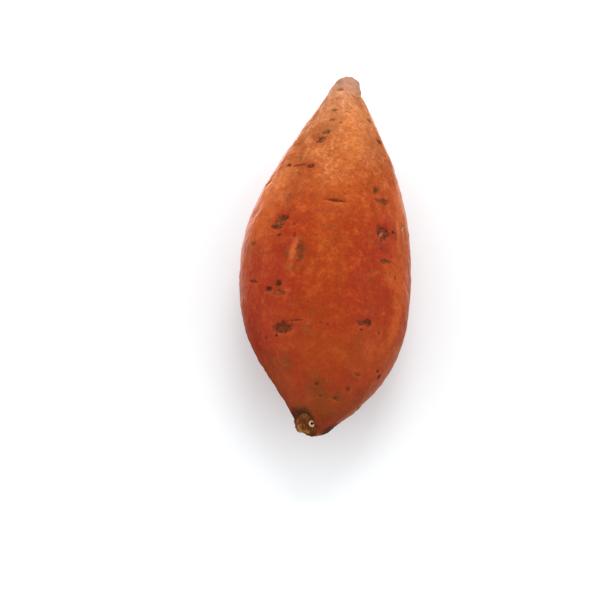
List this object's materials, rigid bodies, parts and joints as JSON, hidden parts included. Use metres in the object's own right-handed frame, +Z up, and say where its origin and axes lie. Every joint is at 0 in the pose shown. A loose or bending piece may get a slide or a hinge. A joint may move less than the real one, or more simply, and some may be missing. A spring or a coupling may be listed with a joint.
{
  "type": "sweet potato",
  "caption": "Whole raw sweet potato, a tapered orange-skinned root with a snapped tail, lying on a small flat spot.",
  "frame": {"origin": "bottom centre of the root's bounding box, level with the flat spot that it lies on", "axes": "+Y along the root, from the snapped tail to the crown end; +X across it; +Z up, out of the side that faces away from the ground"},
  "size_m": [0.0678, 0.1504, 0.0588],
  "materials": {
    "skin": "satin"
  },
  "bodies": {
    "root": {"sweet_potato": "skin"}
  },
  "joints": []
}
